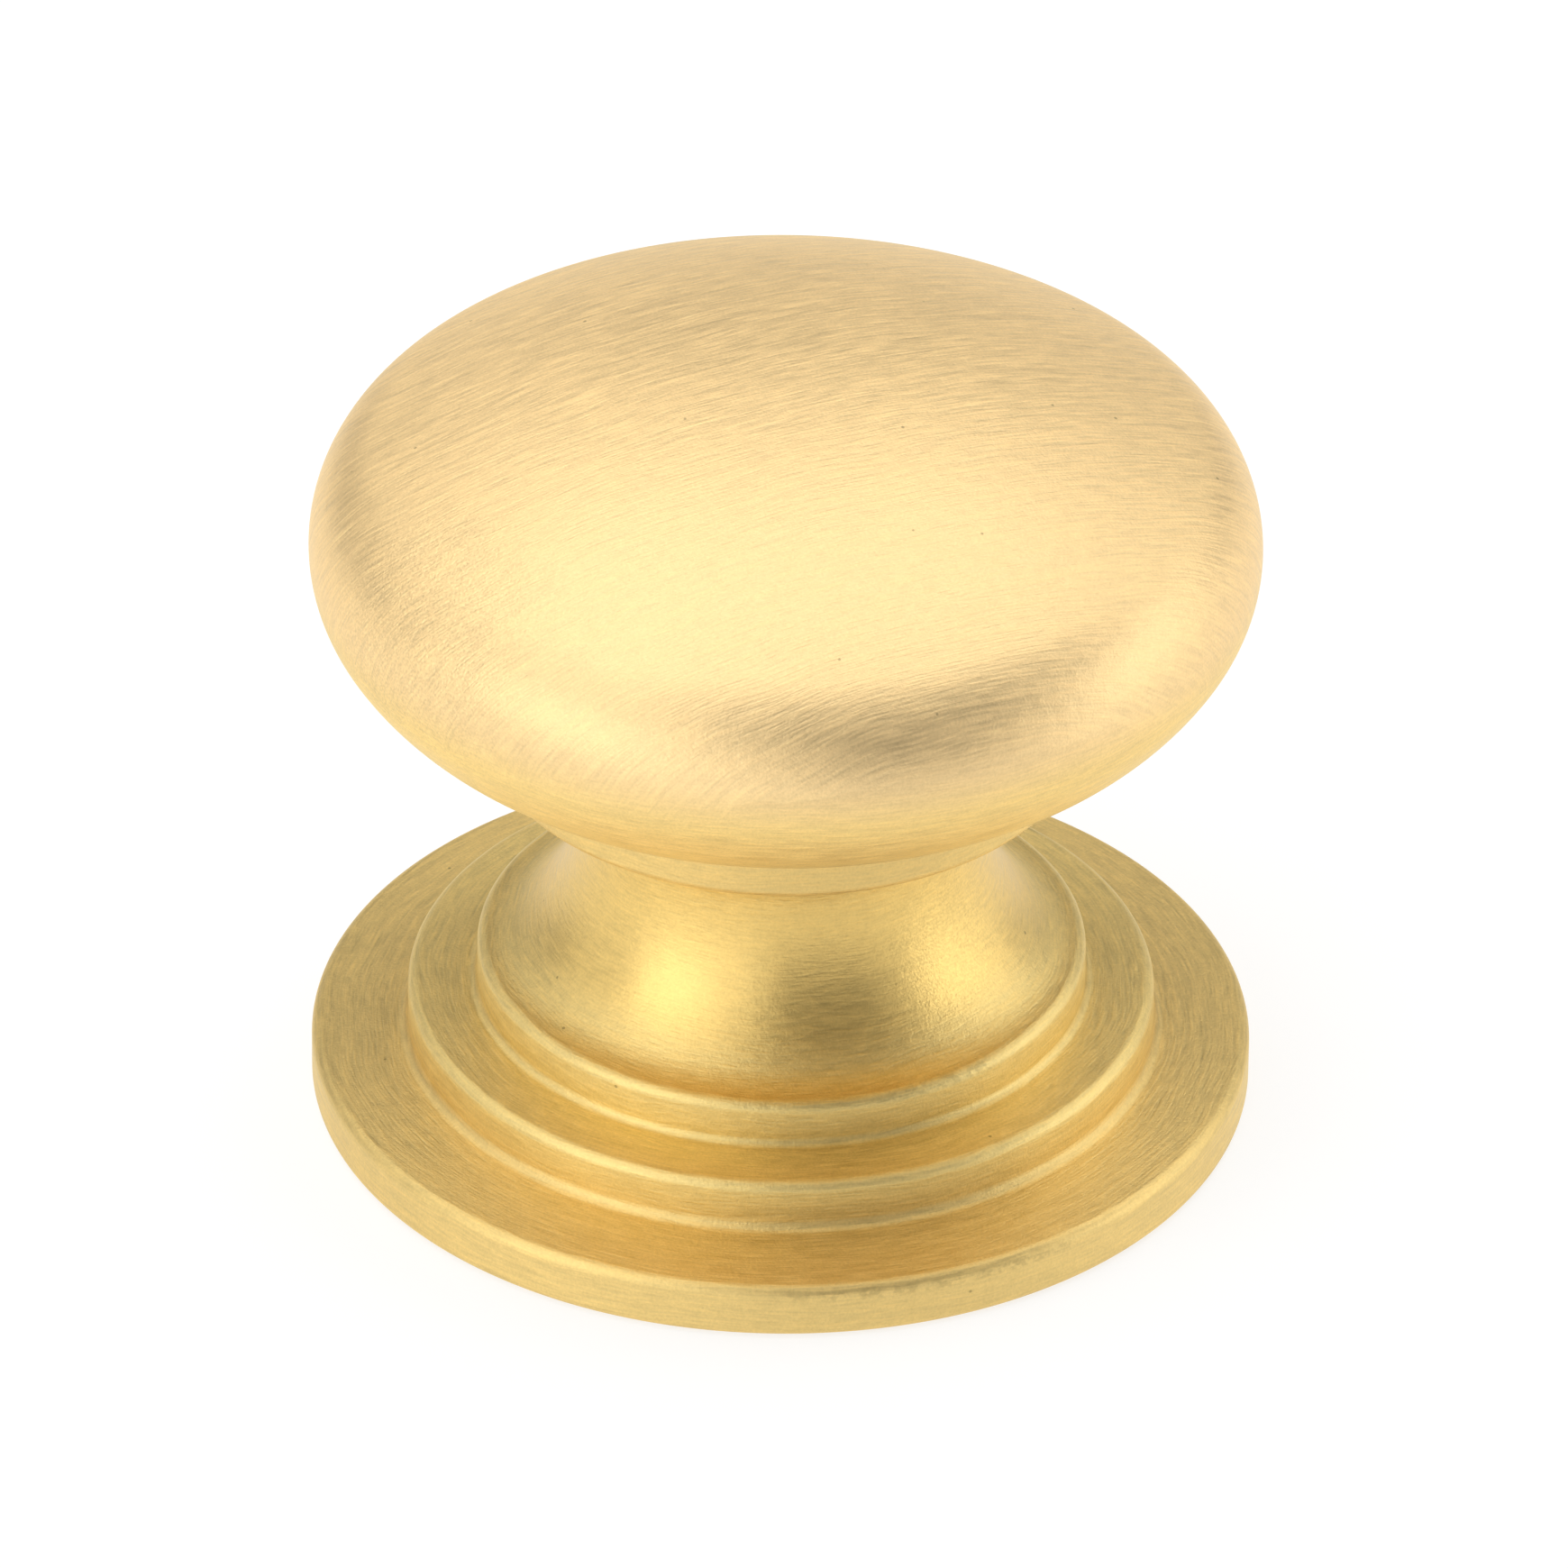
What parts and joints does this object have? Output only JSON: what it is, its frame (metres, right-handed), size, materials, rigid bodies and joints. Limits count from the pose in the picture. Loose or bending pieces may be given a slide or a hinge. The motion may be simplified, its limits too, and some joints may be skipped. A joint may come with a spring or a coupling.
{
  "type": "cabinet knob",
  "caption": "Round mushroom cabinet knob in one solid piece, with a stepped base, a coved waist, a flattened oval head and a tapped hole in its back.",
  "frame": {"origin": "centre of the flat back face, on the axis of turning", "axes": "+Z along the axis of turning, from the back to the crown of the head; the knob is the same all round, so +X and +Y are any two directions across it"},
  "size_m": [0.038, 0.038, 0.0336],
  "materials": {
    "brass": "satin, brushed, bare brass"
  },
  "bodies": {
    "root": {"knob": "brass"}
  },
  "joints": []
}
